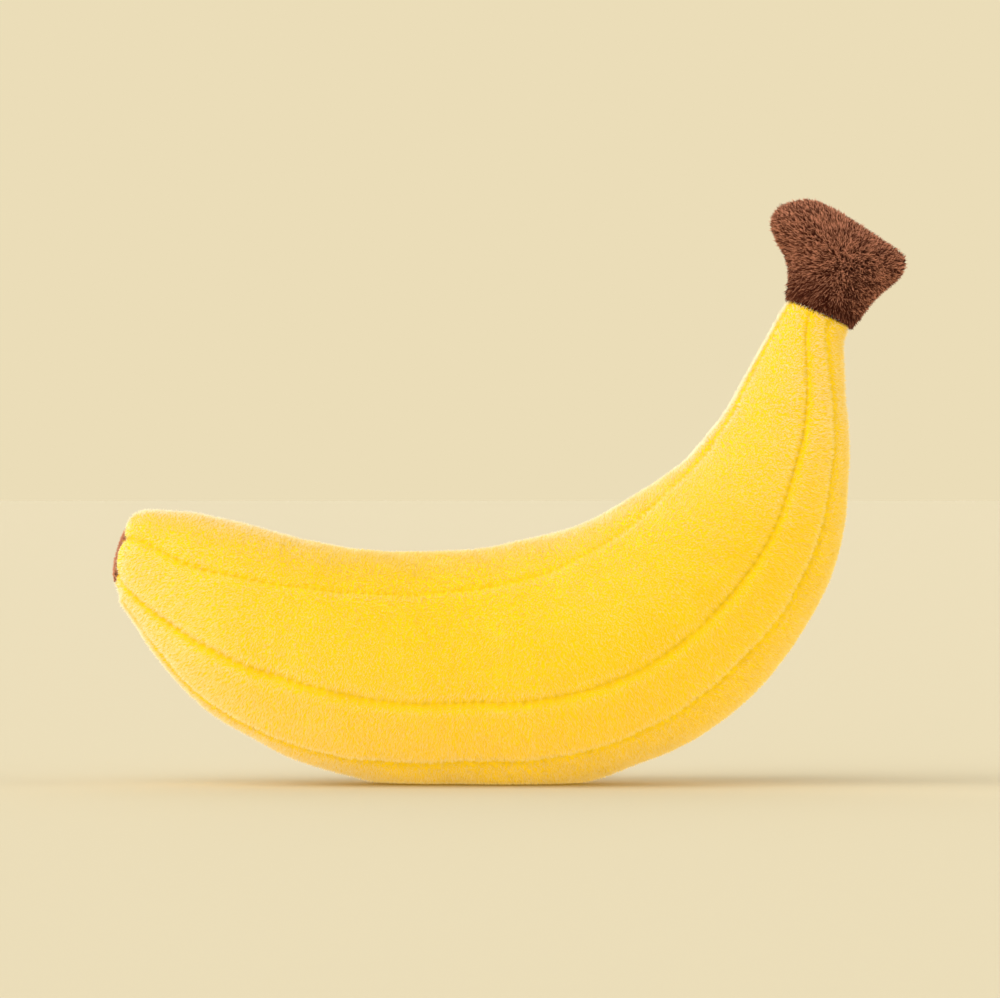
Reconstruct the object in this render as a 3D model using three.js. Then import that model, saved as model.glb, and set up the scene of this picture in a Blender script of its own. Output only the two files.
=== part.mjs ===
// A stuffed plush banana that stands on its outer curve: six yellow gores sewn edge to edge over a
// fibre filling, a brown patch at the blossom end and a brown two-piece stem cap.
// Millimetres. +X runs from the tip to the stem, -Y is the front, +Z is up, and z = 0 is the floor.
import * as THREE from "three";

// Middle line of the body from the tip to the stem: x, height above the floor, girth radius
const BODY_LINE = [
  [-147.6, 88.2, 17],
  [-140, 86, 19.8],
  [-128, 80, 26],
  [-116, 72.5, 31.2],
  [-101, 63.2, 36.4],
  [-87, 56, 39.3],
  [-65, 48.4, 42.3],
  [-43, 44.9, 43.4],
  [-18, 44.8, 44],
  [6, 45.8, 46],
  [32, 51.2, 46.8],
  [54.4, 61.7, 46],
  [76, 79.7, 42.3],
  [92, 100.8, 36.2],
  [102.3, 125.4, 27.9],
  [108.3, 150, 20.2],
  [113.3, 169.6, 14.6],
  [117.2, 178.4, 13.2],
];

// Where the three front seams lie round the girth, in degrees above the side, at fractions of the
// body's length. The back seams mirror them.
const SEAM_STATIONS = [0, 0.06, 0.14, 0.24, 0.36, 0.5, 0.62, 0.8, 0.92, 1];
const UPPER_SEAM = [26, 15, 27, 38, 43, 47, 54, 64, 68, 64];
const MIDDLE_SEAM = [-44, -38, -27, -18, -18, -17, -15, -13, -11, 18];
const LOWER_SEAM = [-68, -68, -70, -64, -58, -53, -47, -48, -46, -17];

const PLUSH = 3;            // backing and pile together
const GAP = 0.3;            // between pieces that touch
const FILLING_GAP = 0.5;    // round the filling inside the gores
const CREASE = 1.9;         // how deep the seams draw in
const CREASE_REACH = 0.1;   // share of a gore's width that the seam draws down
const LIP_DEPTH = 4;        // seam allowance turned inward at the full girth
const LIP_THICKNESS = 1.2;  // backing alone, its pile trimmed off
const THREAD_RADIUS = 0.4;
const THREAD_SIDES = 5;
const THREAD_LIFT = 0.85;   // middle of a thread above the bottom of its crease

const TIP_LENGTH = 8;       // over which the blunt tip rounds up to its girth
const TIP_EDGE = 12.9;      // radius where the gores end
const TIP_OPENING = 10.5;   // hole that the patch closes
const TIP_WALL = 3.5;       // depth of that hole
const PATCH_RADIUS = 8.9;
const PATCH_DOME = 1.2;

const REST_FLAT = 2.3;      // what lies lower than this is pressed flat on the floor
const REST_BLEND = 5;       // height at which the pressing ends

const BODY_RINGS = 30;
const RING_CROWDING = 1.3;  // crowds the rings towards the tip
const WIDE_GORE = [0, 0.07, 0.18, 0.34, 0.5, 0.66, 0.82, 0.93, 1];
const NARROW_GORE = [0, 0.09, 0.24, 0.5, 0.76, 0.91, 1];
const RESTING_GORE = [0, 0.1, 0.24, 0.38, 0.5, 0.62, 0.76, 0.9, 1];

// Stem cap: a stuffed two-piece flare whose side seams lie left and right
const CAP_HEIGHT = 38;
const CAP_HEM = 1.4;        // hem of the cap above the end of the gores
const CAP_STATIONS = [0, 0.14, 0.26, 0.4, 0.52, 0.64, 0.8, 1];
const CAP_SHIFT = [0, 0, 0.2, 0.8, 1.8, 3.2, 4.2, 4.2];
const CAP_HALF_WIDTH = [14.2, 15.3, 16.2, 17.8, 20.2, 23.4, 26.6, 26.8];
const CAP_HALF_DEPTH = [13.6, 14.2, 14.8, 15.6, 16.2, 16.8, 17.4, 17.6];
const CAP_SHOULDER = 0.17;  // how far the top drops at the two lobes
const CAP_ROWS = 12;
const CAP_COLUMNS = 12;
const CAP_FILLING_GAP = 2.4;  // wider than in the body, because the lobes slant
const CAP_HALF_GAP = 0.7;   // from the middle plane to the rim of each half

const YELLOW = new THREE.Color("rgb(250, 208, 60)");
const BROWN = new THREE.Color("rgb(104, 62, 42)");
const WHITE = new THREE.Color("rgb(238, 236, 228)");

const group = new THREE.Group();
const line = new THREE.CatmullRomCurve3(
  BODY_LINE.map(([x, z, radius]) => new THREE.Vector3(x, z, radius)),
  false,
  "catmullrom",
  0.5,
);
const LINE_STEPS = BODY_LINE.length - 1;

function readTable(stations, values, at) {
  const last = stations.length - 1;
  const clamped = THREE.MathUtils.clamp(at, stations[0], stations[last]);
  return new THREE.CubicInterpolant(stations, values, 1).evaluate(clamped)[0];
}

function addMesh(name, geometry, color, roughness) {
  const material = new THREE.MeshStandardMaterial({ color, roughness, metalness: 0 });
  const mesh = new THREE.Mesh(geometry, material);
  mesh.name = name;
  group.add(mesh);
}

// Closed solid through a row of rings. Each ring has its points in space and the same points flat,
// which are used to fill the two ends. A closed row meets itself and has no ends.
function loft(rings, closed = false) {
  const count = rings[0].points.length;
  const positions = rings.flatMap((ring) => ring.points.flatMap((point) => point.toArray()));
  const index = [];
  const spans = closed ? rings.length : rings.length - 1;
  for (let i = 0; i < spans; i += 1) {
    const here = i * count;
    const there = ((i + 1) % rings.length) * count;
    for (let j = 0; j < count; j += 1) {
      const next = (j + 1) % count;
      splitQuad(positions, index, [here + j, here + next, there + next, there + j]);
    }
  }
  if (!closed) {
    index.push(...fillEnd(rings[0].flat, 0, true));
    index.push(...fillEnd(rings.at(-1).flat, (rings.length - 1) * count, false));
  }
  const geometry = new THREE.BufferGeometry();
  geometry.setAttribute("position", new THREE.Float32BufferAttribute(positions, 3));
  geometry.setIndex(faceOutward(positions, index));
  geometry.computeVertexNormals();
  return geometry;
}

// Two triangles, split along the shorter diagonal, so that facing surfaces split alike
function splitQuad(positions, index, [a, b, c, d]) {
  const corner = (i) => new THREE.Vector3().fromArray(positions, 3 * i);
  if (corner(a).distanceTo(corner(c)) <= corner(b).distanceTo(corner(d))) index.push(a, b, c, a, c, d);
  else index.push(a, b, d, b, c, d);
}

function fillEnd(flat, start, reversed) {
  const turn = Math.sign(THREE.ShapeUtils.area(flat));
  const faces = THREE.ShapeUtils.triangulateShape(flat, []);
  return faces.flatMap((face) => {
    const faceTurn = Math.sign(THREE.ShapeUtils.area(face.map((i) => flat[i])));
    const forward = (faceTurn === turn) !== reversed;
    const ordered = forward ? face : [...face].reverse();
    return ordered.map((i) => i + start);
  });
}

function faceOutward(positions, index) {
  const corner = (i) => new THREE.Vector3().fromArray(positions, 3 * i);
  let volume = 0;
  for (let i = 0; i < index.length; i += 3) {
    const [a, b, c] = [corner(index[i]), corner(index[i + 1]), corner(index[i + 2])];
    volume += a.dot(b.cross(c));
  }
  return volume < 0 ? [...index].reverse() : index;
}

// Thread along a row of points; each outward direction sets how its section is turned
function thread(points, outwards, closed = false) {
  const last = points.length - 1;
  const rings = points.map((point, i) => {
    const before = points[closed ? (i + last) % (last + 1) : Math.max(i - 1, 0)];
    const after = points[closed ? (i + 1) % (last + 1) : Math.min(i + 1, last)];
    const along = after.clone().sub(before).normalize();
    const out = outwards[i].clone().addScaledVector(along, -along.dot(outwards[i])).normalize();
    const side = along.clone().cross(out);
    const flat = [];
    for (let k = 0; k < THREAD_SIDES; k += 1) {
      const angle = (k / THREAD_SIDES) * 2 * Math.PI;
      flat.push(new THREE.Vector2(Math.cos(angle), Math.sin(angle)).multiplyScalar(THREAD_RADIUS));
    }
    const placed = flat.map(({ x, y }) => point.clone().addScaledVector(out, x).addScaledVector(side, y));
    return { flat, points: placed };
  });
  return loft(rings, closed);
}

// One cross-section of the body: its middle, its directions and its girth
function bodyStation(ring) {
  const t = Math.pow(ring / BODY_RINGS, RING_CROWDING);
  const middle = line.getPoint(t);
  const ahead = line.getPoint(Math.min(t + 0.004, 1));
  const behind = line.getPoint(Math.max(t - 0.004, 0));
  const along = new THREE.Vector3(ahead.x - behind.x, 0, ahead.y - behind.y).normalize();
  const center = new THREE.Vector3(middle.x, 0, middle.y);
  const start = new THREE.Vector3(BODY_LINE[0][0], 0, BODY_LINE[0][1]);
  const fromTip = center.distanceTo(start);
  const rest = Math.max(1 - fromTip / TIP_LENGTH, 0);
  const tipShare = TIP_EDGE / BODY_LINE[0][2];
  const radius = middle.z * Math.sqrt(1 - (1 - tipShare * tipShare) * rest * rest);
  const inner = Math.min(radius - PLUSH, TIP_OPENING + 2 * Math.max(fromTip - TIP_WALL, 0));
  const grown = THREE.MathUtils.smoothstep(fromTip, TIP_WALL, 5 * TIP_WALL);
  const lip = 0.25 + LIP_DEPTH * grown * Math.min(inner / 40, 1);
  const toInnerCurve = new THREE.Vector3(-along.z, 0, along.x);
  return { center, along, toInnerCurve, radius, inner, lip, fromTip, share: bodyShare(t) };
}

function bodyShare(t) {
  const lengths = bodyShare.lengths ?? (bodyShare.lengths = measureLine());
  const at = t * (lengths.length - 1);
  const i = Math.min(Math.floor(at), lengths.length - 2);
  return THREE.MathUtils.lerp(lengths[i], lengths[i + 1], at - i) / lengths.at(-1);
}

function measureLine() {
  const steps = 20 * LINE_STEPS;
  const lengths = [0];
  for (let i = 1; i <= steps; i += 1) {
    const here = line.getPoint(i / steps);
    const there = line.getPoint((i - 1) / steps);
    lengths.push(lengths.at(-1) + Math.hypot(here.x - there.x, here.y - there.y));
  }
  return lengths;
}

// The six seams in order round the girth, from the front upper one downward and up the back
function seamAngles(share) {
  const front = [UPPER_SEAM, MIDDLE_SEAM, LOWER_SEAM].map((table) => readTable(SEAM_STATIONS, table, share));
  const [upper, middle, lower] = front.map(THREE.MathUtils.degToRad);
  return [upper, middle, lower, -Math.PI - lower, -Math.PI - middle, -Math.PI - upper];
}

// A point of a section, flat: x to the inner curve, y to the front. It lies on the ray at the
// angle, moved sideways by the offset.
function sectionPoint(angle, radius, offset = 0) {
  const ray = new THREE.Vector2(Math.sin(angle), Math.cos(angle));
  const across = new THREE.Vector2(Math.cos(angle), -Math.sin(angle));
  return ray.multiplyScalar(radius).addScaledVector(across, offset);
}

// Presses the underside flat on the floor; what is inside the skin is pressed the same way
function pressOnFloor(point, aboveSkin) {
  const height = point.z - aboveSkin;
  if (height >= REST_BLEND) return point;
  const pressed = (REST_BLEND * Math.max(height - REST_FLAT, 0)) / (REST_BLEND - REST_FLAT);
  point.z = aboveSkin + pressed;
  return point;
}

function placeSection(station, flatPoint, aboveSkin) {
  const point = station.center.clone();
  point.addScaledVector(station.toInnerCurve, flatPoint.x);
  point.y -= flatPoint.y;
  return pressOnFloor(point, aboveSkin);
}

function skinRadius(station, across) {
  const edge = Math.min(across, 1 - across) / CREASE_REACH;
  const depth = CREASE * Math.exp(-edge) * Math.min(station.radius / 30, 1);
  return station.radius - depth;
}

// Angles across the inside of a gore, where the space beside each seam is taken by its lip
function insideAngles(a, b, columns, lipSide, radius) {
  const tuck = Math.asin(lipSide / radius);
  return columns.slice(1, -1).map((share) => THREE.MathUtils.lerp(a - tuck, b + tuck, share));
}

// Closed outline of one gore in one section, from the seam at angle a to the seam at angle b,
// where b is the lower angle: the skin, then back along the inside round the two turned lips
function goreRing(station, a, b, columns) {
  const half = GAP / 2;
  const lipSide = half + LIP_THICKNESS;
  const skin = columns.map((share) => {
    const radius = skinRadius(station, share);
    if (share === 0) return sectionPoint(a, radius, -half);
    if (share === 1) return sectionPoint(b, radius, half);
    return sectionPoint(THREE.MathUtils.lerp(a, b, share), radius);
  });
  const deep = station.inner - station.lip;
  const inner = insideAngles(a, b, columns, lipSide, station.inner);
  const inside = [
    sectionPoint(b, deep, half),
    sectionPoint(b, deep, lipSide),
    sectionPoint(b, station.inner, lipSide),
    ...inner.reverse().map((angle) => sectionPoint(angle, station.inner)),
    sectionPoint(a, station.inner, -lipSide),
    sectionPoint(a, deep, -lipSide),
    sectionPoint(a, deep, -half),
  ];
  const points = [
    ...skin.map((point) => placeSection(station, point, 0)),
    ...inside.map((point) => placeSection(station, point, PLUSH)),
  ];
  return { flat: [...skin, ...inside], points };
}

const stations = [];
for (let ring = 0; ring <= BODY_RINGS; ring += 1) stations.push(bodyStation(ring));

const GORES = [
  { name: "panel_front_upper", seam: 0, columns: WIDE_GORE },
  { name: "panel_front_lower", seam: 1, columns: NARROW_GORE },
  { name: "panel_bottom", seam: 2, columns: RESTING_GORE },
  { name: "panel_back_lower", seam: 3, columns: NARROW_GORE },
  { name: "panel_back_upper", seam: 4, columns: WIDE_GORE },
  { name: "panel_top", seam: 5, columns: WIDE_GORE },
];

function goreAngles(station, seam) {
  const seams = seamAngles(station.share);
  const next = seam === 5 ? seams[0] - 2 * Math.PI : seams[seam + 1];
  return [seams[seam], next];
}

for (const { name, seam, columns } of GORES) {
  const rings = stations.map((station) => goreRing(station, ...goreAngles(station, seam), columns));
  addMesh(name, loft(rings), YELLOW, 0.95);
}

// How fast the girth grows along the body at a ring
function girthSlope(ring) {
  const before = stations[Math.max(ring - 1, 0)];
  const after = stations[Math.min(ring + 1, BODY_RINGS)];
  return (after.radius - before.radius) / after.center.distanceTo(before.center);
}

// Stitching that shows in the creases of the six long seams
for (let seam = 0; seam < 6; seam += 1) {
  const points = [];
  const outwards = [];
  stations.forEach((station, ring) => {
    const angle = seamAngles(station.share)[seam];
    const lift = THREAD_LIFT * Math.hypot(1, girthSlope(ring));
    points.push(placeSection(station, sectionPoint(angle, skinRadius(station, 0) + lift), 0));
    const out = sectionPoint(angle, 1);
    outwards.push(station.toInnerCurve.clone().multiplyScalar(out.x).setY(-out.y));
  });
  addMesh(`seam_thread_${seam + 1}`, thread(points, outwards), YELLOW, 0.8);
}

// A ring of stitching in the plane of a station
function threadRing(station, shift, radiusAcross, radiusDeep) {
  const steps = 28;
  const points = [];
  const outwards = [];
  for (let i = 0; i < steps; i += 1) {
    const angle = (i / steps) * 2 * Math.PI;
    const out = station.toInnerCurve.clone().multiplyScalar(Math.sin(angle));
    out.y = -Math.cos(angle);
    const point = station.center.clone().addScaledVector(station.along, shift);
    point.addScaledVector(station.toInnerCurve, radiusAcross * Math.sin(angle));
    point.y -= radiusDeep * Math.cos(angle);
    points.push(point);
    outwards.push(out);
  }
  return thread(points, outwards, true);
}

// Tip patch: a slightly domed disc in the opening that the gores leave
const tip = stations[0];
const patchProfile = [
  [0, 0.3 - PATCH_DOME],
  [0.5 * PATCH_RADIUS, 0.3 - 0.75 * PATCH_DOME],
  [0.85 * PATCH_RADIUS, 0.3 - 0.25 * PATCH_DOME],
  [PATCH_RADIUS, 0.5],
  [PATCH_RADIUS, PLUSH],
  [0, PLUSH],
].map(([radius, depth]) => new THREE.Vector2(radius, depth));
const patch = new THREE.LatheGeometry(patchProfile, 28);
patch.applyQuaternion(new THREE.Quaternion().setFromUnitVectors(new THREE.Vector3(0, 1, 0), tip.along));
patch.translate(...tip.center.toArray());
addMesh("tip_patch", patch, BROWN, 0.95);
const tipThreadRadius = PATCH_RADIUS + GAP + THREAD_RADIUS;
addMesh("tip_thread", threadRing(tip, 1.2, tipThreadRadius, tipThreadRadius), BROWN, 0.8);

// Stem cap. Row runs from 0 at the hem to 1 at the top seam, across from -1 to 1 between the side
// seams, and the inset is how far inside the outer surface a point lies.
const stem = stations.at(-1);
const capUp = stem.along;
const capAcross = stem.toInnerCurve.clone().negate();

function capPoint(row, across, side, inset, fullness = 1) {
  const shift = readTable(CAP_STATIONS, CAP_SHIFT, row);
  const halfWidth = readTable(CAP_STATIONS, CAP_HALF_WIDTH, row) - inset;
  const halfDepth = readTable(CAP_STATIONS, CAP_HALF_DEPTH, row) - inset;
  const top = CAP_HEIGHT * (1 - CAP_SHOULDER * Math.pow(across, 4)) - CAP_HEM - inset;
  const closing = Math.sqrt(Math.max(1 - Math.pow(row, 3.2), 0));
  const round = Math.sqrt(Math.max(1 - across * across, 0));
  const point = stem.center.clone().addScaledVector(capUp, CAP_HEM + row * top);
  point.addScaledVector(capAcross, across * halfWidth * fullness - shift);
  point.y = side * halfDepth * closing * round * fullness;
  return point;
}

// Half of the cap as one closed skin: its outer sheet, its inner sheet and the rim between them
function capHalf(side) {
  const positions = [];
  const keep = (inset) => {
    for (let i = 0; i <= CAP_ROWS; i += 1) {
      for (let j = 0; j <= CAP_COLUMNS; j += 1) {
        const row = Math.sin((i / CAP_ROWS) * (Math.PI / 2));
        const across = -Math.cos((j / CAP_COLUMNS) * Math.PI);
        const point = capPoint(row, across, side, inset);
        if (side * point.y < CAP_HALF_GAP) point.y = side * CAP_HALF_GAP;
        positions.push(...point.toArray());
      }
    }
  };
  keep(0);
  keep(PLUSH);
  const wide = CAP_COLUMNS + 1;
  const sheet = (CAP_ROWS + 1) * wide;
  const index = [];
  const quad = (a, b, c, d) => index.push(a, b, c, a, c, d);
  for (let i = 0; i < CAP_ROWS; i += 1) {
    for (let j = 0; j < CAP_COLUMNS; j += 1) {
      const a = i * wide + j;
      quad(a, a + 1, a + wide + 1, a + wide);
      quad(sheet + a, sheet + a + wide, sheet + a + wide + 1, sheet + a + 1);
    }
    const left = i * wide;
    const right = left + CAP_COLUMNS;
    quad(left, left + wide, sheet + left + wide, sheet + left);
    quad(right, sheet + right, sheet + right + wide, right + wide);
  }
  for (let j = 0; j < CAP_COLUMNS; j += 1) {
    const top = CAP_ROWS * wide + j;
    quad(j, sheet + j, sheet + j + 1, j + 1);
    quad(top, top + 1, sheet + top + 1, sheet + top);
  }
  const geometry = new THREE.BufferGeometry();
  geometry.setAttribute("position", new THREE.Float32BufferAttribute(positions, 3));
  geometry.setIndex(faceOutward(positions, index));
  geometry.computeVertexNormals();
  return geometry;
}

addMesh("stem_cap_front", capHalf(-1), BROWN, 0.95);
addMesh("stem_cap_back", capHalf(1), BROWN, 0.95);
addMesh("hem_thread", threadRing(stem, CAP_HEM / 2, stem.radius - 1, stem.radius - 1), BROWN, 0.8);

// Stitching of the cap's side seams and top seam, between the two halves
function capSeamPath() {
  const inset = 0.9;
  const sideRows = [0.04, 0.16, 0.28, 0.4, 0.5, 0.6, 0.7, 0.8, 0.9];
  const topShares = [-1, -0.96, -0.85, -0.6, -0.3, 0, 0.3, 0.6, 0.85, 0.96, 1];
  const left = sideRows.map((row) => capPoint(row, -1, 1, inset));
  const over = topShares.map((share) => capPoint(1, share, 1, inset));
  const right = sideRows.map((row) => capPoint(row, 1, 1, inset)).reverse();
  return [...left, ...over, ...right].map((point) => point.setY(0));
}

const capSeam = capSeamPath();
addMesh("cap_thread", thread(capSeam, capSeam.map(() => new THREE.Vector3(0, 1, 0))), BROWN, 0.8);

// Filling: one mass that fills the gores, with grooves round their lips, and runs on into the cap
function fillingRing(station) {
  const radius = station.inner - FILLING_GAP;
  const deep = station.inner - station.lip - GAP;
  const grooveSide = GAP / 2 + LIP_THICKNESS + GAP;
  const groove = Math.asin(grooveSide / radius);
  const flat = [];
  const angles = [];
  for (const { seam, columns } of GORES) {
    const [a, b] = goreAngles(station, seam);
    const arc = insideAngles(a, b, columns, grooveSide, radius);
    flat.push(sectionPoint(a, deep, -grooveSide), sectionPoint(a, radius, -grooveSide));
    flat.push(...arc.map((angle) => sectionPoint(angle, radius)));
    flat.push(sectionPoint(b, radius, grooveSide), sectionPoint(b, deep, grooveSide));
    angles.push(a - groove / 3, a - groove, ...arc, b + groove, b + groove / 3);
  }
  const inside = PLUSH + FILLING_GAP;
  const points = flat.map((point) => placeSection(station, point, inside));
  return { flat, points, angles, radius };
}

function fillingInCap(row, neck) {
  const inset = PLUSH + CAP_FILLING_GAP;
  const grooveFade = THREE.MathUtils.smoothstep(row, 0, 0.3);
  const flat = [];
  const points = neck.angles.map((angle, i) => {
    const fullness = THREE.MathUtils.lerp(neck.flat[i].length() / neck.radius, 1, grooveFade);
    const side = -Math.sign(Math.cos(angle));
    const placed = capPoint(row, -Math.sin(angle), side, inset, Math.min(fullness, 1));
    flat.push(new THREE.Vector2(placed.clone().sub(stem.center).dot(capAcross), placed.y));
    return placed;
  });
  return { flat, points };
}

const CAP_FILLING_ROWS = [0.06, 0.2, 0.36, 0.52, 0.66, 0.78, 0.88, 0.95];
const fillingRings = stations.filter((station) => station.fromTip > TIP_WALL + 1).map(fillingRing);
const neck = fillingRings.at(-1);
const capRings = CAP_FILLING_ROWS.map((row) => fillingInCap(row, neck));
addMesh("stuffing", loft([...fillingRings, ...capRings]), WHITE, 1);

export default group;
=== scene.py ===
import bpy
import numpy as np
from mathutils.kdtree import KDTree
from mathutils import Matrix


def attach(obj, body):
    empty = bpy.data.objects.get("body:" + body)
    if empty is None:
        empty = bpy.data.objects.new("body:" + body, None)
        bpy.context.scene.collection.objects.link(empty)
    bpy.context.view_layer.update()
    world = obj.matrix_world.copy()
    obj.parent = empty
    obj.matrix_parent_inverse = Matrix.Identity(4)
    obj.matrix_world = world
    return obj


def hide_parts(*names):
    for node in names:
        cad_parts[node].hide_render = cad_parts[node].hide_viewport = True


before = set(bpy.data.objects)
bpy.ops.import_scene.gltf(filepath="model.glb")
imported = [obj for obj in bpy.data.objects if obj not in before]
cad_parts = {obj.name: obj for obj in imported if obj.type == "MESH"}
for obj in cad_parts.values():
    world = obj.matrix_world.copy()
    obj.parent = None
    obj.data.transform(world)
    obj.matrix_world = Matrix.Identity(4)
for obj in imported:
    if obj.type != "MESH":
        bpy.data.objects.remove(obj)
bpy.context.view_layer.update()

# Camera
# Level, straight from the front, with a long lens. The picture is 379 mm wide at the middle of
# the banana, and its middle lies 4 mm left of the part's own and 108 mm above the floor.
PICTURE_WIDTH = 0.3793
PICTURE_MIDDLE = (-0.0036, 0.1081)
CAMERA_DISTANCE = 2.4
SENSOR_WIDTH = 36
SIGHT = 900  # metres, past the floor's far corners

lens = bpy.data.cameras.new("studio_camera")
lens.sensor_width = SENSOR_WIDTH
lens.lens = SENSOR_WIDTH * CAMERA_DISTANCE / PICTURE_WIDTH
lens.clip_end = SIGHT
camera = bpy.data.objects.new("studio_camera", lens)
camera.location = (PICTURE_MIDDLE[0], -CAMERA_DISTANCE, PICTURE_MIDDLE[1])
camera.rotation_euler = (np.pi / 2, 0, 0)
bpy.context.collection.objects.link(camera)
bpy.context.scene.camera = camera
bpy.context.scene.view_settings.view_transform = "Standard"


# Studio
# A wide pale floor that runs on into a backdrop of the same beige. Soft lamps light it from up
# on the left, from beside the camera, from both sides and from behind, and a lit card on the
# floor fills the underside as a white table does.
BACKDROP = (0.831, 0.723, 0.479)
FLOOR_PAINT = (0.547, 0.480, 0.321)
FLOOR_SIZE = 800000  # millimetres
LAMP_TINT = (1.0, 0.985, 0.96)
SKY_STRENGTH = 0.63
CARD_SIZE = (1.2, 1.0)
CARD_HEIGHT = 0.0005
CARD_BRIGHTNESS = 0.6


class Wire:
    """A node's output. A sum or product of values adds the Math node that works it out."""

    def __init__(self, finish, socket):
        self.finish = finish
        self.socket = socket

    def math(self, operation, first, second):
        return self.finish.node("ShaderNodeMath", {"operation": operation}, {0: first, 1: second})

    def __add__(self, other):
        return self.math("ADD", self, other)

    def __mul__(self, other):
        return self.math("MULTIPLY", self, other)

    __radd__ = __add__
    __rmul__ = __mul__


class Finish:
    """The nodes of one material, or of the light all round."""

    def __init__(self, owner):
        owner.use_nodes = True
        self.owner = owner
        self.nodes = owner.node_tree.nodes
        self.links = owner.node_tree.links
        self.nodes.clear()

    def node(self, kind, settings=None, inputs=None, output=0):
        made = self.nodes.new(kind)
        for name, value in (settings or {}).items():
            setattr(made, name, value)
        for name, value in (inputs or {}).items():
            if isinstance(value, Wire):
                self.links.new(value.socket, made.inputs[name])
            else:
                made.inputs[name].default_value = value
        return Wire(self, made.outputs[output] if made.outputs else None)

    def blend(self, share, first, second):
        colours = {0: share, 6: first, 7: second}
        return self.node("ShaderNodeMix", {"data_type": "RGBA"}, colours, output=2)

    def read(self, name):
        return self.node("ShaderNodeAttribute", {"attribute_name": name}, output=2)


def colour(red, green, blue):
    return (red, green, blue, 1)


def add_object(name, mesh):
    made = bpy.data.objects.new(name, mesh)
    bpy.context.collection.objects.link(made)
    return made


def mesh_of(name, points, quads, triangles=()):
    """A smooth mesh from points in millimetres and rows of corners."""
    quads = np.reshape(quads, (-1, 4))
    triangles = np.reshape(triangles, (-1, 3))
    corners = np.concatenate([quads.ravel(), triangles.ravel()]).astype(np.int32)
    sizes = np.repeat([4, 3], [len(quads), len(triangles)])
    mesh = bpy.data.meshes.new(name)
    mesh.vertices.add(len(points))
    mesh.vertices.foreach_set("co", (points * 0.001).astype(np.float32).ravel())
    mesh.loops.add(len(corners))
    mesh.loops.foreach_set("vertex_index", corners)
    mesh.polygons.add(len(sizes))
    mesh.polygons.foreach_set("loop_start", (np.cumsum(sizes) - sizes).astype(np.int32))
    mesh.update(calc_edges=True)
    mesh.shade_smooth()
    return mesh


def add_sun(name, elevation, azimuth, strength, spread):
    """A soft lamp. Azimuth 0 shines from the camera's side and 90 from the right."""
    lamp = bpy.data.lights.new(name, "SUN")
    lamp.energy = strength
    lamp.angle = np.radians(spread)
    lamp.color = LAMP_TINT
    sun = add_object(name, lamp)
    sun.rotation_euler = (np.radians(90 - elevation), 0, np.radians(azimuth))


add_sun("front_lamp", elevation=8, azimuth=-10, strength=0.36, spread=20)
add_sun("top_lamp", elevation=50, azimuth=-35, strength=1.58, spread=60)
add_sun("left_lamp", elevation=30, azimuth=-80, strength=1.2, spread=50)
add_sun("right_lamp", elevation=20, azimuth=80, strength=1.05, spread=50)
add_sun("back_lamp", elevation=30, azimuth=180, strength=1.0, spread=60)

card = bpy.data.lights.new("table_card", "AREA")
card.shape = "RECTANGLE"
card.size, card.size_y = CARD_SIZE
card.energy = CARD_BRIGHTNESS * np.pi * CARD_SIZE[0] * CARD_SIZE[1]
card.color = LAMP_TINT
lit_card = add_object("table_card", card)
lit_card.location = (0, 0, CARD_HEIGHT)
lit_card.rotation_euler = (np.pi, 0, 0)
lit_card.visible_camera = False

world = bpy.data.worlds.new("soft_box")
bpy.context.scene.world = world
sky = Finish(world)
seen = sky.node("ShaderNodeBackground", inputs={"Color": colour(*BACKDROP), "Strength": 1.0})
lit = sky.node(
    "ShaderNodeBackground",
    inputs={"Color": colour(*LAMP_TINT), "Strength": SKY_STRENGTH},
)
from_camera = sky.node("ShaderNodeLightPath")
both = sky.node("ShaderNodeMixShader", inputs={0: from_camera, 1: lit, 2: seen})
sky.node("ShaderNodeOutputWorld", inputs={"Surface": both})

corners = np.array([[-1, -1, 0], [1, -1, 0], [1, 1, 0], [-1, 1, 0]]) * FLOOR_SIZE / 2
floor = add_object("studio_floor", mesh_of("studio_floor", corners, [[0, 1, 2, 3]]))
paint = Finish(bpy.data.materials.new("pale_floor"))
matt = paint.node(
    "ShaderNodeBsdfPrincipled",
    inputs={"Base Color": colour(*FLOOR_PAINT), "Roughness": 1.0, "Specular IOR Level": 0.1},
)
paint.node("ShaderNodeOutputMaterial", inputs={"Surface": matt})
floor.data.materials.append(paint.owner)


# Six yellow gores
# Long pieces of short-pile plush, sewn edge to edge with their allowances turned in over the
# filling. Each is one bent sheet of knitted backing, drawn in along its seams and pressed flat
# where the banana rests. Sizes are in millimetres.
BODY_LINE = np.array([  # middle line from tip to stem: x, height, girth radius
    [-147.6, 88.2, 17],
    [-140, 86, 19.8],
    [-128, 80, 26],
    [-116, 72.5, 31.2],
    [-101, 63.2, 36.4],
    [-87, 56, 39.3],
    [-65, 48.4, 42.3],
    [-43, 44.9, 43.4],
    [-18, 44.8, 44],
    [6, 45.8, 46],
    [32, 51.2, 46.8],
    [54.4, 61.7, 46],
    [76, 79.7, 42.3],
    [92, 100.8, 36.2],
    [102.3, 125.4, 27.9],
    [108.3, 150, 20.2],
    [113.3, 169.6, 14.6],
    [117.2, 178.4, 13.2],
])
SEAM_STATIONS = [0, 0.06, 0.14, 0.24, 0.36, 0.5, 0.62, 0.8, 0.92, 1]
FRONT_SEAMS = [  # degrees above the front, from the upper seam down
    [26, 15, 27, 38, 43, 47, 54, 64, 68, 64],
    [-44, -38, -27, -18, -18, -17, -15, -13, -11, 18],
    [-68, -68, -70, -64, -58, -53, -47, -48, -46, -17],
]
SEAM_GAP = 0.1
STITCH = 3.6
FULL_GIRTH = 30        # radius from which the seams draw in to the full
CREASE = 1.0           # how deep a seam draws in, at the full girth
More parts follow.
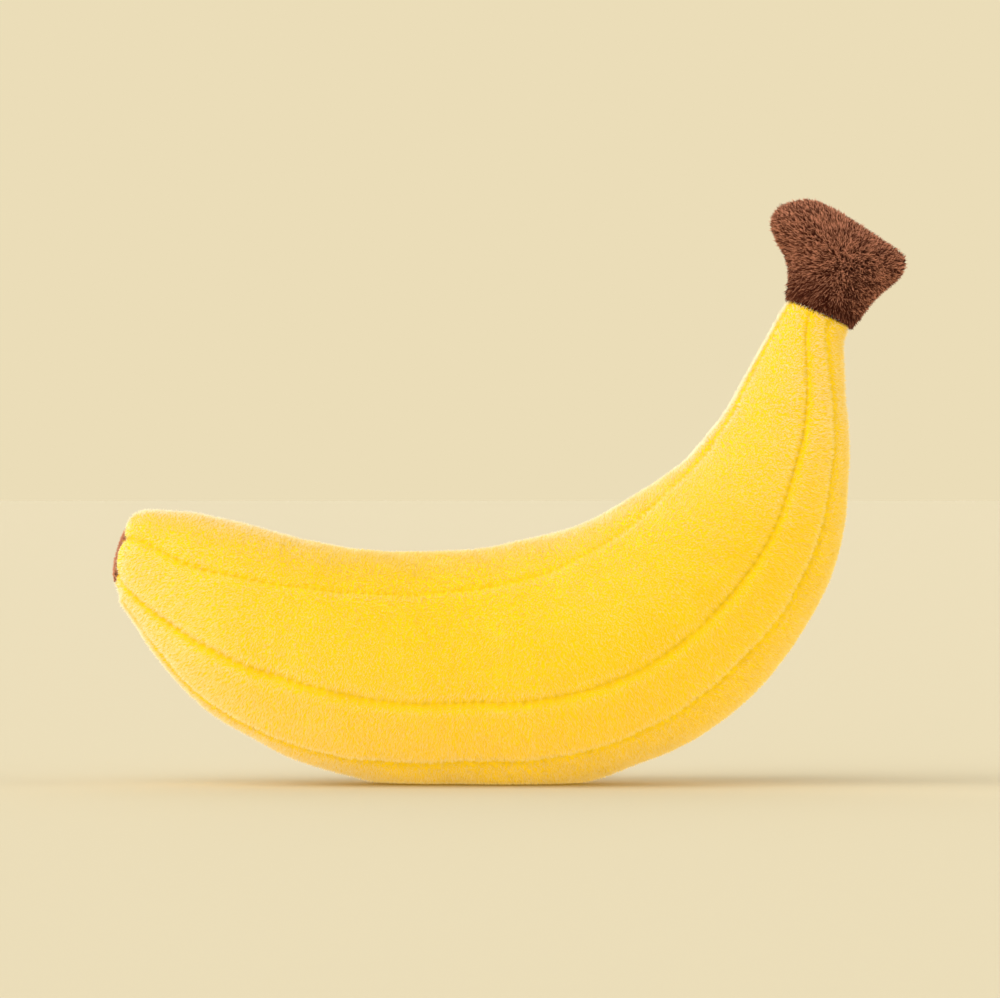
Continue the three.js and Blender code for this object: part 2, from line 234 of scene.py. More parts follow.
CREASE_REACH = 0.07    # share of a gore's width that it draws down
PIT_DEPTH = 0.55       # of the pits that the stitches pull in
PIT_REACH = 1.3
SWELLS = [(0.45, 46, 11), (0.16, 15, 12)]  # height, size and seed of the filling's lumps
PUCKER_HEIGHT = 0.5    # of the puckers beside the seams
PUCKER_SIZE = 17
PUCKER_REACH = 6.0
LUMPY_GIRTH = 40       # radius from which lumps and puckers are full
LUMPY_FROM = 20        # length from the tip over which they grow
PILE_DEPTH = 1.25      # from the tips of the pile down to the backing
BACKING = 1.3
INSIDE_MARGIN = 0.02   # share of a gore's width by which its inside is narrower on each side
ALLOWANCE = 4.0
ALLOWANCE_TOP = 3.4    # from the skin down to where an allowance starts
ALLOWANCE_FROM = 16    # length from the tip over which the allowances grow
PRESSED_ALLOWANCE = 3  # how far the floor keeps an allowance above it
TIP_LENGTH = 8.0       # length over which the tip rounds off to its blunt edge
TIP_EDGE = 12.9        # girth radius of that edge
TIP_PULL_REACH = 5.0   # length from the tip over which its edge is drawn back
TIP_PULL_BELOW = 1.2   # how far it is drawn back on the underside
TIP_PULL_AT_SEAM = 1.8
TIP_PULL_WIDTH = 2.2
REST_FLAT = 2.3        # height up to which the round underside is pressed away
REST_BLEND = 9.0       # height up to which the floor's press is felt
REST_STEEPNESS = 1.5   # of the sides just above the flat
SLOPE_STEP = 0.004     # share of the body line on each side that gives its direction
GORE_NAMES = ["front_upper", "front_lower", "bottom", "back_lower", "back_upper", "top"]
GORE_ROWS = 420
GORE_COLUMNS = 40
EDGE_COLUMNS = [0.012, 0.03, 0.97, 0.988]  # more columns, close to the seams


def unit(vectors):
    return vectors / np.maximum(np.linalg.norm(vectors, axis=-1, keepdims=True), 1e-9)


def ramp(value, start, length):
    """0 up to the start, then up to 1 over this length."""
    return np.clip((value - start) / length, 0, 1)


def near(distance, reach):
    """1 at no distance, fading to nothing well past the reach."""
    return np.exp(-((distance / reach) ** 2))


def read_table(stations, values, at):
    """Cubic curve through a table, with the mean slope of both sides at each station."""
    stations, values = np.array(stations, float), np.array(values, float)
    secants = np.diff(values) / np.diff(stations)
    slopes = np.concatenate([secants[:1], (secants[1:] + secants[:-1]) / 2, secants[-1:]])
    at = np.clip(at, stations[0], stations[-1])
    i = np.clip(np.searchsorted(stations, at, side="right") - 1, 0, len(secants) - 1)
    span = stations[i + 1] - stations[i]
    f = (at - stations[i]) / span
    start = (1 - f) ** 2 * ((1 + 2 * f) * values[i] + f * span * slopes[i])
    end = f * f * ((3 - 2 * f) * values[i + 1] - (1 - f) * span * slopes[i + 1])
    return start + end


def line_point(t):
    """x, height and radius at t, from 0 at the tip to 1 at the stem."""
    before, after = 2 * BODY_LINE[0] - BODY_LINE[1], 2 * BODY_LINE[-1] - BODY_LINE[-2]
    knots = np.vstack([before, BODY_LINE, after])
    spans = len(BODY_LINE) - 1
    i = np.clip((np.clip(t, 0, 1) * spans).astype(int), 0, spans - 1)
    f = (np.clip(t, 0, 1) * spans - i)[..., None]
    p, q, r, s = knots[i], knots[i + 1], knots[i + 2], knots[i + 3]
    bend = 2 * p - 5 * q + 4 * r - s + f * (3 * q - p - 3 * r + s)
    return q + 0.5 * f * (r - p + f * bend)


fine = np.linspace(0, 1, 1361)
steps = np.linalg.norm(np.diff(line_point(fine)[:, :2], axis=0), axis=1)
fine_lengths = np.concatenate([[0], np.cumsum(steps)])
BODY_LENGTH = fine_lengths[-1]


class Section:
    """The body's cross-sections at shares of its length, with the girth and its directions."""

    def __init__(self, share):
        t = np.interp(share * BODY_LENGTH, fine_lengths, fine)
        self.middle = line_point(t)
        ahead = line_point(np.minimum(t + SLOPE_STEP, 1))
        behind = line_point(np.maximum(t - SLOPE_STEP, 0))
        self.along = unit((ahead - behind)[..., :2])
        from_tip = np.linalg.norm(self.middle[..., :2] - BODY_LINE[0, :2], axis=-1)
        rounding = np.maximum(1 - from_tip / TIP_LENGTH, 0) ** 2
        blunt = 1 - (TIP_EDGE / BODY_LINE[0, 2]) ** 2
        self.radius = self.middle[..., 2] * np.sqrt(1 - blunt * rounding)
        self.from_tip = from_tip

    def place(self, angle, radius, aside=0.0, depth=0.0):
        """Points at an angle above the front. The floor presses what lies lowest flat."""
        inward = np.sin(angle) * radius + np.cos(angle) * aside
        forward = np.cos(angle) * radius - np.sin(angle) * aside
        x = self.middle[..., 0] - self.along[..., 1] * inward
        z = self.middle[..., 1] + self.along[..., 0] * inward
        height = z - depth
        band = REST_BLEND - REST_FLAT
        f = ramp(height, REST_FLAT, band)
        slopes = band * f * (1 - f) * (REST_STEEPNESS * (1 - f) - f)
        pressed = REST_BLEND * f * f * (3 - 2 * f) + slopes
        z = np.where(height < REST_BLEND, depth + pressed, z)
        return np.stack(np.broadcast_arrays(x, -forward, z), -1)


def seam_angle(seam, share):
    """Seams 0 to 2 run down the front, 3 to 5 mirror them up the back, and 6 is 0 again."""
    if seam == 6:
        return seam_angle(0, share) - 2 * np.pi
    if seam > 2:
        return -np.pi - seam_angle(5 - seam, share)
    return np.radians(read_table(SEAM_STATIONS, FRONT_SEAMS[seam], share))


def waves(points, size, seed, count=10):
    """Smooth unevenness between about -1 and 1, with bumps of this size."""
    chance = np.random.default_rng(seed)
    turns = unit(chance.normal(size=(count, 3))) * chance.uniform(0.6, 1.5, (count, 1))
    phases = chance.uniform(0, 2 * np.pi, count)
    return np.sin(points @ (turns.T * 2 * np.pi / size) + phases).sum(-1) / np.sqrt(2 * count)


def stitch_pull(share):
    """From 0 midway between two stitches to 1 where the thread pulls the seam in."""
    return 0.5 + 0.5 * np.cos(2 * np.pi * share * BODY_LENGTH / STITCH)


def gore_point(gore, share, across, depth=0.0):
    """A point this deep under a gore's skin. Across runs from 0 at the upper seam to 1."""
    cut = Section(share)
    start, end = seam_angle(gore, share), seam_angle(gore + 1, share)
    tuck = SEAM_GAP / 2 / cut.radius
    angle = start - tuck + (end - start + 2 * tuck) * across
    edge = np.minimum(across, 1 - across)
    to_seam = edge * (start - end) * cut.radius
    girth = np.minimum(cut.radius / FULL_GIRTH, 1)
    drawn = CREASE * near(edge, CREASE_REACH) * girth
    round_skin = cut.place(angle, cut.radius)
    swell = sum(height * waves(round_skin, size, seed) for height, size, seed in SWELLS)
    puckers = PUCKER_HEIGHT * waves(round_skin, PUCKER_SIZE, seed=13)
    puckers = puckers * np.exp(-to_seam / PUCKER_REACH)
    pits = PIT_DEPTH * girth * stitch_pull(share) ** 2 * near(to_seam, PIT_REACH)
    lumpy = np.minimum(cut.radius / LUMPY_GIRTH, 1) * ramp(cut.from_tip, 0, LUMPY_FROM)
    skin = cut.radius - drawn + (swell + puckers) * lumpy - pits
    below = TIP_PULL_BELOW * np.clip(-np.sin(angle), 0, 1)
    at_seam = TIP_PULL_AT_SEAM * np.exp(-to_seam / TIP_PULL_WIDTH)
    drawn_back = np.exp(-cut.from_tip / TIP_PULL_REACH) * (below + at_seam)
    forward = np.stack([cut.along[..., 0], 0 * cut.radius, cut.along[..., 1]], -1)
    return cut.place(angle, skin - depth, depth=depth) + drawn_back[..., None] * forward


def close_loops(rows, loop):
    """Quads round a tube of rows of points, each a closed loop."""
    here = np.arange(rows - 1)[:, None] * loop + np.arange(loop)
    after = np.arange(rows - 1)[:, None] * loop + (np.arange(loop) + 1) % loop
    return np.stack([here, here + loop, after + loop, after], -1).reshape(-1, 4)


def allowance_share(cut):
    """How much of the full allowance a section has: less at the tip and where it is slim."""
    return np.clip(cut.from_tip / ALLOWANCE_FROM, 0.05, 1) * np.minimum(cut.radius / FULL_GIRTH, 1)


def gore_sheet(gore, name):
    """The closed sheet of one gore: backing, its inside, and the allowances at both seams."""
    share = np.linspace(0, 1, GORE_ROWS)[:, None]
    across = np.sort(np.concatenate([
        0.5 - 0.5 * np.cos(np.linspace(0, np.pi, GORE_COLUMNS)),
        EDGE_COLUMNS,
    ]))[None, :]
    cut = Section(share)
    outer = gore_point(gore, share, across, PILE_DEPTH)
    inset = INSIDE_MARGIN + (1 - 2 * INSIDE_MARGIN) * across
    inner = gore_point(gore, share, inset, PILE_DEPTH + BACKING)
    reach = allowance_share(cut)
    bottom = cut.radius - ALLOWANCE_TOP - ALLOWANCE * reach
    lips = []
    for seam, way in ((gore, -1), (gore + 1, 1)):
        angle = seam_angle(seam, share)
        thick = SEAM_GAP / 2 + BACKING * reach
        seam_side = cut.place(angle, bottom, way * SEAM_GAP / 2, depth=PRESSED_ALLOWANCE)
        gore_side = cut.place(angle, bottom, way * thick, depth=PRESSED_ALLOWANCE)
        lips.append([seam_side, gore_side])
    (seam_a, gore_a), (seam_b, gore_b) = lips
    loops = np.concatenate([outer, seam_b, gore_b, inner[:, ::-1], gore_a, seam_a], 1)
    loop = loops.shape[1]
    columns = across.shape[1]
    quads = [close_loops(GORE_ROWS, loop)]
    for row, turn in ((0, 1), (GORE_ROWS - 1, -1)):
        top = np.arange(columns - 1)
        under = 2 * columns + 1 - top
        ends = np.stack([top, top + 1, under - 1, under], -1)
        lip_b = [columns - 1, columns, columns + 1, columns + 2]
        lip_a = [0, loop - 3, loop - 2, loop - 1]
        quads.append((np.vstack([ends, lip_b, lip_a]) + row * loop)[:, ::turn])
    return mesh_of(name, loops.reshape(-1, 3), np.vstack(quads))


def knitted_backing(name, deep, pale):
    """The backing that shows between the hairs: a fine knit, uneven in colour."""
    cloth = Finish(bpy.data.materials.new(name))
    place = cloth.node("ShaderNodeTexCoord", output=3)
    patches = {"Vector": place, "Scale": 120.0, "Detail": 3.0}
    cloud = cloth.node("ShaderNodeTexNoise", inputs=patches)
    knit = cloth.node("ShaderNodeTexVoronoi", inputs={"Vector": place, "Scale": 1900.0})
    shade = cloth.blend(cloud * 0.7 + knit * 0.3, colour(*deep), colour(*pale))
    relief = {"Height": knit, "Strength": 0.4, "Distance": 0.0003}
    bump = cloth.node("ShaderNodeBump", inputs=relief)
    skin = cloth.node(
        "ShaderNodeBsdfPrincipled",
        inputs={
            "Base Color": shade,
            "Roughness": 0.95,
            "Specular IOR Level": 0.1,
            "Normal": bump,
        },
    )
    cloth.node("ShaderNodeOutputMaterial", inputs={"Surface": skin})
    return cloth.owner


yellow_backing = knitted_backing("yellow_backing", (0.88, 0.58, 0.003), (0.94, 0.63, 0.006))
for gore, gore_name in enumerate(GORE_NAMES):
    sheet = add_object(f"{gore_name}_gore", gore_sheet(gore, f"{gore_name}_gore"))
    sheet.data.materials.append(yellow_backing)
    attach(sheet, "root")
    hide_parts(f"panel_{gore_name}")


# Yellow pile
# Short soft polyester hairs knitted into the gores. They lie over towards the outer curve, are
# shorter in the seams, which hold painted shade, and are pressed flat under the banana.
HAIRS_PER_MM2 = 3.4
MOST_HAIRS = 66000
HAIR_LENGTH = 1.75
HAIR_WIDTH = 0.34
HAIR_LEAN = 42        # degrees that a hair lies over, with how much that varies
LEAN_SPREAD = 13
STRAY_HAIRS = 0.05    # share of hairs that stand up, with their lean
STRAY_LEAN = 12
NAP_SWAY = 60         # length over which the nap turns to and fro
NAP_TURN = 0.45
NAP_UNEVEN = 0.45
SEAM_LEAN = 0.6       # how strongly the hairs beside a seam lie into it
SEAM_LEAN_REACH = 2.2
END_REACH = 1.0       # length from the tip where the pile rolls in over the cut edge
END_ROLL = 60         # degrees that it rolls in
ROOT_REACH = 0.58     # share of its width that a hair's corners stand out by, and its taper
TAPER = 0.2
HAIR_ROUNDNESS = 0.8  # how far a hair shades as a round thing rather than as part of the cloth
FLOOR_CLEARANCE = 0.08


def scatter(surface, count, seed, cells=(240, 64)):
    """Even random places on a surface of two shares."""
    chance = np.random.default_rng(seed)
    u, v = np.meshgrid(*(np.linspace(0, 1, n + 1) for n in cells), indexing="ij")
    grid = surface(u, v)
    diagonals = np.cross(grid[1:, 1:] - grid[:-1, :-1], grid[1:, :-1] - grid[:-1, 1:])
    area = np.linalg.norm(diagonals, axis=-1) / 2
    if count is None:
        count = int(min(area.sum() * HAIRS_PER_MM2, MOST_HAIRS))
    filled = np.cumsum(area.ravel()) / area.sum()
    picked = np.searchsorted(filled, (np.arange(count) + chance.random(count)) / count)
    i, j = np.unravel_index(np.minimum(picked, area.size - 1), area.shape)
    return (i + chance.random(count)) / cells[0], (j + chance.random(count)) / cells[1], chance


def frame_at(surface, u, v, step=2e-3):
    """Points of a surface with its outward direction and its two directions there."""
    ahead = surface(np.minimum(u + step, 1), v) - surface(np.maximum(u - step, 0), v)
    aside = surface(u, np.minimum(v + step, 1)) - surface(u, np.maximum(v - step, 0))
    return surface(u, v), unit(np.cross(aside, ahead)), unit(ahead), unit(aside)


def hairs(name, root, lean, length, width, facing, tone_and_painted_light, shade, chance, joints=1, droop=None):
    """Thin three-sided hairs in one mesh. Each holds its height, a value for its pale tip that
    also carries painted light, and its painted shade.
    """
    count = len(root)
    around = unit(np.cross(lean, chance.normal(size=(count, 3))))
    aside = np.cross(lean, around)
    turns = 2 * np.pi * np.arange(3) / 3
    sides = [np.cos(turn) * around + np.sin(turn) * aside for turn in turns]
    rows = []
    for k in range(joints + 1):
        f = k / joints
        middle = root + lean * (length * f)[:, None]
        if droop is not None:
            middle = middle + droop * (length * f * f)[:, None]
        if k == joints:
            rows.append(middle)
            break
        for out in sides:
            rows.append(middle + out * (width * (ROOT_REACH - TAPER * f))[:, None])
    points = np.stack(rows, 1)
    points[..., 2] = np.maximum(points[..., 2], FLOOR_CLEARANCE)
    per_hair = points.shape[1]
    heights = np.append(np.repeat(np.arange(joints) / joints, 3), 1.0)
    low = np.array([[3 * k + s for s in range(3)] for k in range(joints)])
    high = np.roll(low, -1, axis=1)
    quads = np.stack([low[:-1], high[:-1], high[1:], low[1:]], -1).reshape(-1, 4)
    tips = np.stack([low[-1], high[-1], np.full(3, per_hair - 1)], -1)
    start = (np.arange(count) * per_hair)[:, None, None]
    quads_all = (start + quads).reshape(-1, 4)
    tips_all = (start + tips).reshape(-1, 3)
    mesh = mesh_of(name, points.reshape(-1, 3), quads_all, tips_all)
    spread = {
        "height": np.tile(heights, count),
        "tone_and_painted_light": np.repeat(tone_and_painted_light, per_hair),
        "shade": np.repeat(shade, per_hair),
    }
    for key, values in spread.items():
        held = mesh.attributes.new(key, "FLOAT", "POINT")
        held.data.foreach_set("value", values.astype(np.float32))
    cells = int(np.ceil(np.sqrt(count)))  # each hair has a cell of its own in the bake map
    cell = np.stack([np.arange(count) % cells, np.arange(count) // cells], -1)[:, None, None]
    left, right = 0.12, 0.88
    quad_across = np.tile([left, right, right, left], (len(quads), 1))
    quad_map = np.stack([quad_across, 0.1 + 0.8 * heights[quads]], -1)
    tip_across = np.tile([left, right, 0.5], (3, 1))
    tip_map = np.stack([tip_across, 0.1 + 0.8 * heights[tips]], -1)
    places = [((cell + shape) / cells).reshape(-1, 2) for shape in (quad_map, tip_map)]
    layer = mesh.uv_layers.new(name="OFBake")
    layer.uv.foreach_set("vector", np.concatenate(places).astype(np.float32).ravel())
    sides = np.stack(sides, 1)
    later_sides = np.roll(sides, -1, axis=1)
    ring = np.stack([sides, later_sides, later_sides, sides], 2)
    ring = np.tile(ring, (1, joints - 1, 1, 1)).reshape(count, -1, 3)
    point = np.stack([sides, later_sides, sides + later_sides], 2).reshape(count, -1, 3)
    shading = [(facing[:, None] + HAIR_ROUNDNESS * way).reshape(-1, 3) for way in (ring, point)]
    mesh.normals_split_custom_set(unit(np.concatenate(shading)))
    return add_object(name, mesh)


def pile_finish(name, root, body, tip, tipped, painted_shade_colour, sheen, sheen_spread, sheen_tint):
    """Pile that is deeper in colour at its roots, slightly uneven in dye, with painted sheen on
    its pale tips and painted shade in the seams and at the cap's hem.
    """
    pile = Finish(bpy.data.materials.new(name))
    place = pile.node("ShaderNodeTexCoord", output=3)
    dye = {"Vector": place, "Scale": 70.0, "Detail": 4.0}
    cloud = pile.node("ShaderNodeTexNoise", inputs=dye)
    height, tone_and_painted_light, shade = pile.read("height"), pile.read("tone_and_painted_light"), pile.read("shade")
    grown = pile.blend(height * 1.6, colour(*root), colour(*body))
    # Painted sheen: the tips go paler where the hair's value carries painted light, besides their
    # own pale colour.
    pale_tips_and_sheen = pile.blend(height * height * tipped * (tone_and_painted_light + cloud * 0.12), grown, colour(*tip))
    # Painted shade: the colour turns darker where the hair's shade value is high.
    sunk = pile.blend(shade, pale_tips_and_sheen, colour(*painted_shade_colour))
    hair = pile.node(
        "ShaderNodeBsdfPrincipled",
        inputs={
            "Base Color": sunk,
            "Roughness": 0.8,
            "Specular IOR Level": 0.05,
            "Sheen Weight": sheen,
            "Sheen Roughness": sheen_spread,
            "Sheen Tint": colour(*sheen_tint),
        },
    )
    pile.node("ShaderNodeOutputMaterial", inputs={"Surface": hair})
    return pile.owner


def gore_pile(gore, name):
    def backing(u, v):
        return gore_point(gore, u, v, PILE_DEPTH)

    u, v, chance = scatter(backing, None, seed=100 + gore)
    count = len(u)
    place, out, ahead, over_seam = frame_at(backing, u, v)
    bottom, top = GORE_NAMES.index("bottom"), GORE_NAMES.index("top")
    down = over_seam * (-1 if gore > bottom else 1)  # the nap runs to the outer curve
    if gore == top:
        parted = np.clip(3 * (v - 0.5), -1, 1)[:, None]
        down = over_seam * parted + ahead * (1 - np.abs(parted))
    if gore == bottom:
        down = over_seam * 0.3
    cut = Section(u)
    edge = np.minimum(v, 1 - v)
    to_seam = edge * (seam_angle(gore, u) - seam_angle(gore + 1, u)) * cut.radius
    nap = down + NAP_TURN * ahead * waves(place, NAP_SWAY, seed=21)[:, None]
    into_seam = SEAM_LEAN * near(to_seam, SEAM_LEAN_REACH) * np.sign(v - 0.5)
    nap = nap + into_seam[:, None] * over_seam
    nap = unit(nap + NAP_UNEVEN * chance.normal(size=(count, 3)))
    stray = chance.random(count) < STRAY_HAIRS
    at_end = np.exp(-u * BODY_LENGTH / END_REACH)[:, None]
    most = np.where(stray, STRAY_LEAN, HAIR_LEAN)
    tilt = np.radians(most + LEAN_SPREAD * chance.normal(size=count))[:, None]
    tilt = tilt + np.radians(END_ROLL) * at_end
    lean = unit(out * np.cos(tilt) + unit(nap - 4 * at_end * ahead) * np.sin(tilt))
    sunk = near(to_seam, 1.1)
    length = HAIR_LENGTH * chance.uniform(0.8, 1.15, count)
    length = length * (1 - 0.25 * sunk) * (1 - 0.55 * sunk * stitch_pull(u) ** 2)
    length = length * (1 - 0.3 * at_end[:, 0])
    width = HAIR_WIDTH * np.where(stray, 0.7, 1) * chance.uniform(0.75, 1.2, count)
    facing = unit(out + 0.2 * lean + 0.13 * chance.normal(size=(count, 3)))
    # Painted sheen: the pile's pale tips show more at the tip, on top, inside the neck and on the
    # ridges beside the seams, where the light catches them.
    on_top = ramp(out[:, 2], 0, 0.6) * ramp(u, 0.35, 0.2)
    neck = ramp(u, 0.76, 0.16) * np.clip(1.1 - 1.1 * out[:, 0], 0.25, 2)
    painted_sheen = 1.2 * np.exp(-u / 0.22) + neck + 0.65 * on_top
    beside_seam = near(to_seam - 3.4, 1.3)
    tone_and_painted_light = 0.06 + 0.85 * painted_sheen + 0.18 * beside_seam + 0.16 * chance.normal(size=count)
    tone_and_painted_light = np.clip(tone_and_painted_light, 0, 1.7)
    # Painted shade in the seams' creases, deepest at the stitch pits.
    shade = 1.5 * near(to_seam, 1.7) * (0.3 + 0.7 * stitch_pull(u))
    return hairs(name, place - 0.25 * out, lean, length, width, facing, tone_and_painted_light, shade, chance)


yellow_pile = pile_finish(
    "yellow_pile",
    root=(0.91, 0.573, 0.001),
    body=(0.945, 0.618, 0.003),
    tip=(0.97, 0.825, 0.56),
    tipped=1.85,
    # painted shade colour of the seams' creases
    painted_shade_colour=(0.82, 0.585, 0.0),
    sheen=0.38,
    sheen_spread=0.7,
    sheen_tint=(1.0, 0.95, 0.74),
)
for gore, gore_name in enumerate(GORE_NAMES):
    pile = gore_pile(gore, f"{gore_name}_pile")
    pile.data.materials.append(yellow_pile)
    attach(pile, "root")
    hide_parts(f"panel_{gore_name}")


# Seam stitching
# Six rows of two-ply yellow thread that close the long seams from the inside. Each stitch is a
# short slanting loop at the bottom of the crease, which it pulls into a small pit.
PLY_RADIUS = 0.15
PLY_SIDES = 5
PLY_STEPS = 9
PLY_TWIST = 2.2     # turns from one end of a stitch to the other
LOOP_RISE = 0.35
STITCH_REACH = 1.5
STITCH_DEPTH = 1.55
STITCH_SLANT = 0.5


def stitches(name, middle, out, ahead, reach, slant):
    """A row of two-ply loops that each cross a seam at one point of it."""
    aside = np.cross(out, ahead)
    f = np.linspace(-1, 1, PLY_STEPS)
    count = len(middle)
    over = f[None, :, None] * reach / 2
    loop = middle[:, None] + aside[:, None] * over + ahead[:, None] * over * slant
    loop = loop + out[:, None] * (LOOP_RISE * (1 - f**2))[None, :, None]
    along = unit(aside + slant * ahead)[:, None] + np.zeros((1, PLY_STEPS, 1))
    up = out[:, None] + np.zeros((1, PLY_STEPS, 1))
    across = np.cross(along, up)
    tubes = []
    for ply in (0, 1):
        twist = (f * PLY_TWIST * np.pi + ply * np.pi)[None, :, None]
        strand = loop + PLY_RADIUS * (np.cos(twist) * up + np.sin(twist) * across)
        for side in range(PLY_SIDES):
            turn = 2 * np.pi * side / PLY_SIDES
            out_here = np.cos(turn) * up + np.sin(turn) * across
            tubes.append(strand + PLY_RADIUS * out_here)
    tubes = np.stack(tubes, 2).reshape(count, PLY_STEPS, 2, PLY_SIDES, 3)
    tubes = tubes.transpose(0, 2, 1, 3, 4)
    per_ply = PLY_STEPS * PLY_SIDES
    quads = close_loops(PLY_STEPS, PLY_SIDES)[:, ::-1]
    first, last = np.arange(PLY_SIDES), np.arange(PLY_SIDES) + per_ply - PLY_SIDES
    corners = range(1, PLY_SIDES - 1)
    fans = [[fan[0], fan[k], fan[k + 1]] for fan in (first, last[::-1]) for k in corners]
    starts = (np.arange(count * 2) * per_ply)[:, None, None]
    all_quads = (starts + quads[None]).reshape(-1, 4)
    all_fans = (starts + np.array(fans)[None]).reshape(-1, 3)
    mesh = mesh_of(name, tubes.reshape(-1, 3), all_quads, all_fans)
    return add_object(name, mesh)


def thread_finish(name, dark, light):
    """Twisted polyester: fine slanting light and dark along each ply."""
    yarn = Finish(bpy.data.materials.new(name))
    place = yarn.node("ShaderNodeTexCoord", output=3)
    fibres = {"Vector": place, "Scale": 2600.0, "Detail": 2.0}
    strands = yarn.node("ShaderNodeTexNoise", inputs=fibres)
    shade = yarn.blend(strands, colour(*dark), colour(*light))
    relief = {"Height": strands, "Strength": 0.3, "Distance": 0.0001}
    bump = yarn.node("ShaderNodeBump", inputs=relief)
    skin = yarn.node(
        "ShaderNodeBsdfPrincipled",
        inputs={"Base Color": shade, "Roughness": 0.8, "Specular IOR Level": 0.2, "Normal": bump},
    )
    yarn.node("ShaderNodeOutputMaterial", inputs={"Surface": skin})
    return yarn.owner


yellow_thread = thread_finish("yellow_thread", (0.80, 0.57, 0.003), (0.90, 0.64, 0.006))
seam_stops = (np.arange(int(BODY_LENGTH / STITCH) - 2) + 1.0) * STITCH / BODY_LENGTH
for seam in range(6):
    on_seam = np.zeros_like(seam_stops)
    bottom = gore_point(seam, seam_stops, on_seam, STITCH_DEPTH)
    later = gore_point(seam, seam_stops + 1e-3, on_seam, STITCH_DEPTH)
    cut = Section(seam_stops)
    angle = seam_angle(seam, seam_stops)
    out = unit(cut.place(angle, cut.radius + 10) - cut.place(angle, cut.radius))
    ahead = unit(later - bottom)
    row = stitches(f"seam_stitches_{seam + 1}", bottom, out, ahead, STITCH_REACH, STITCH_SLANT)
    row.data.materials.append(yellow_thread)
    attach(row, "root")
    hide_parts(f"seam_thread_{seam + 1}")


# Tip patch
# A round brown plush patch with shorter pile closes the blossom end. The gores' blunt edges bulge
# round it, and a ring of brown stitches holds it in their opening.
PATCH_RADIUS = 10.6
PATCH_DOME = 1.5
PATCH_RECESS = 0.3     # how far the patch lies in from the gores' edge
PATCH_EDGE_ROLL = 0.2
PATCH_PILE = 1.2
PATCH_THICKNESS = 3.0
PATCH_HAIRS = 1900
PATCH_HAIR_LENGTH = 1.8
PATCH_RINGS = 14
PATCH_SPOKES = 72
BROWN_HAIR_WIDTH = 0.46
TIP_STITCHES = 22
TIP_STITCH_INSET = 1.2
TIP_STITCH_REACH = 1.2
BROWN_STITCH_SLANT = 0.4

tip = Section(np.array([0.0]))
tip_middle = np.array([tip.middle[0, 0], 0, tip.middle[0, 1]])
tip_inward = np.array([tip.along[0, 0], 0, tip.along[0, 1]])
tip_up = np.array([-tip.along[0, 1], 0, tip.along[0, 0]])
FRONT = np.array([0.0, -1.0, 0.0])


def patch_point(u, v, depth=PATCH_PILE):
    """A point of the patch: u runs out from its middle, v round it."""
    sink = PATCH_RECESS - PATCH_DOME + (PATCH_DOME + PATCH_EDGE_ROLL) * u**3 + depth
    turn = 2 * np.pi * v
    round_way = np.sin(turn)[..., None] * tip_up + np.cos(turn)[..., None] * FRONT
    return tip_middle + tip_inward * sink[..., None] + round_way * (PATCH_RADIUS * u)[..., None]


def capped_tube(name, loops, first_middle, last_middle):
    """A closed mesh of rings of points, with a fan of triangles to a middle over each end."""
    rings, loop = loops.shape[:2]
    points = np.vstack([loops.reshape(-1, 3), [first_middle, last_middle]])
    step = np.arange(loop)
    nearby = (step + 1) % loop
    last = (rings - 1) * loop
    first_fan = np.stack([np.full(loop, len(points) - 2), step, nearby], -1)
    last_fan = np.stack([np.full(loop, len(points) - 1), last + nearby, last + step], -1)
    return mesh_of(name, points, close_loops(rings, loop), np.vstack([first_fan, last_fan]))


def patch_disc(name):
    spokes = np.arange(PATCH_SPOKES)
    u, v = np.meshgrid(np.linspace(0.02, 1, PATCH_RINGS), spokes / PATCH_SPOKES, indexing="ij")
    dome = patch_point(u, v)
    back_middle = tip_middle + tip_inward * PATCH_THICKNESS
    back = back_middle + (dome - tip_middle)
    back = back - ((dome - tip_middle) @ tip_inward)[..., None] * tip_inward
    loops = np.concatenate([dome, back[::-1]])
    return capped_tube(name, loops, patch_point(np.zeros(1), np.zeros(1))[0], back_middle)


brown_backing = knitted_backing("brown_backing", (0.02, 0.006, 0.003), (0.06, 0.02, 0.009))
brown_pile = pile_finish(
    "brown_pile",
    root=(0.008, 0.002, 0.001),
    body=(0.035, 0.006, 0.002),
    tip=(0.58, 0.235, 0.13),
    tipped=1.7,
    # painted shade colour of the cap's hem
    painted_shade_colour=(0.05, 0.006, 0.001),
    sheen=0.12,
    sheen_spread=0.25,
    sheen_tint=(0.95, 0.72, 0.6),
)
brown_thread = thread_finish("brown_thread", (0.05, 0.018, 0.009), (0.13, 0.05, 0.028))

patch = add_object("tip_patch_disc", patch_disc("tip_patch_disc"))
patch.data.materials.append(brown_backing)
u, v, chance = scatter(patch_point, PATCH_HAIRS, seed=200, cells=(30, 60))
place, out, ahead, aside = frame_at(patch_point, u, v)
out = np.where((out @ tip_inward > 0)[:, None], -out, out)
count = len(u)
lean = unit(out + 0.5 * ahead + 0.4 * chance.normal(size=(count, 3)))
patch_pile = hairs(
    "tip_patch_pile",
    place - 0.2 * out,
    lean,
    PATCH_HAIR_LENGTH * chance.uniform(0.8, 1.2, count),
    BROWN_HAIR_WIDTH * chance.uniform(0.8, 1.2, count),
    unit(out + 0.4 * lean + 0.3 * chance.normal(size=(count, 3))),
    1.3 + 0.3 * chance.normal(size=count),
    np.zeros(count),
    chance,
    joints=2,
    droop=0.25 * ahead,
)
patch_pile.data.materials.append(brown_pile)
for piece in (patch, patch_pile):
    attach(piece, "root")
    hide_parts("tip_patch")

